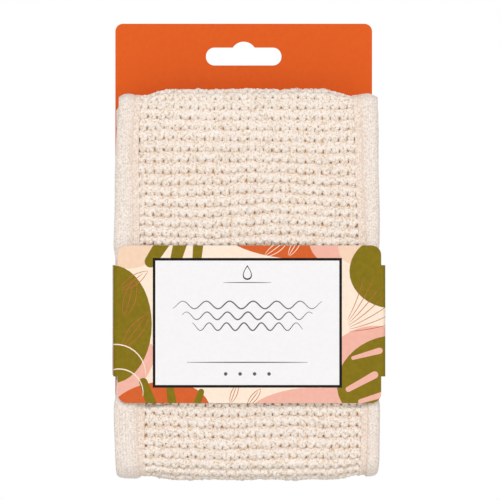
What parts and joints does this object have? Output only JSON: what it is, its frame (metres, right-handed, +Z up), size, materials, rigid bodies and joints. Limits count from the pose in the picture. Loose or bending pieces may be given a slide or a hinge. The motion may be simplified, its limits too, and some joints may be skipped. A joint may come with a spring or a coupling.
{
  "type": "back scrubber strap",
  "caption": "Long knit back scrubber strap with bound edges and webbing handles, folded flat in a paperboard sleeve on a hang card.",
  "frame": {"origin": "centre of the hang slot's straight part, on the card's back face", "axes": "+Z up as it hangs, -Y out of the front of the pack, +X to the right seen from the front"},
  "size_m": [0.113, 0.0252, 0.1921],
  "materials": {
    "orange_card": "matt coated card, printed orange",
    "printed_card": "coated card with a printed pattern",
    "glue": "dried hot glue",
    "loofah_knit": "coarse looped knit, off-white with tan flecks",
    "foam": "thin open-cell foam",
    "terry": "short terry loops",
    "binding_tape": "soft brushed rib tape",
    "thread": "sewing thread",
    "webbing": "woven cotton webbing"
  },
  "bodies": {
    "sleeve": {"hang_card": "orange_card", "belly_band": "printed_card", "band_glue": "glue"},
    "scrubber": {"scrub_knit": "loofah_knit", "foam_core": "foam", "terry_lining": "terry", "edge_binding_left": "binding_tape", "edge_binding_right": "binding_tape", "end_binding_inner": "binding_tape", "end_binding_outer": "binding_tape", "side_seam_left": "thread", "side_seam_right": "thread", "end_seam_inner": "thread", "end_seam_outer": "thread", "handle_inner": "webbing", "handle_outer": "webbing", "handle_stitches_inner": "thread", "handle_stitches_outer": "thread"}
  },
  "joints": [
    {"name": "scrubber_slide", "type": "slide", "parent": "sleeve", "child": "scrubber", "axis": [0, 0, -1], "range_m": [-0.009, 0.155]}
  ]
}
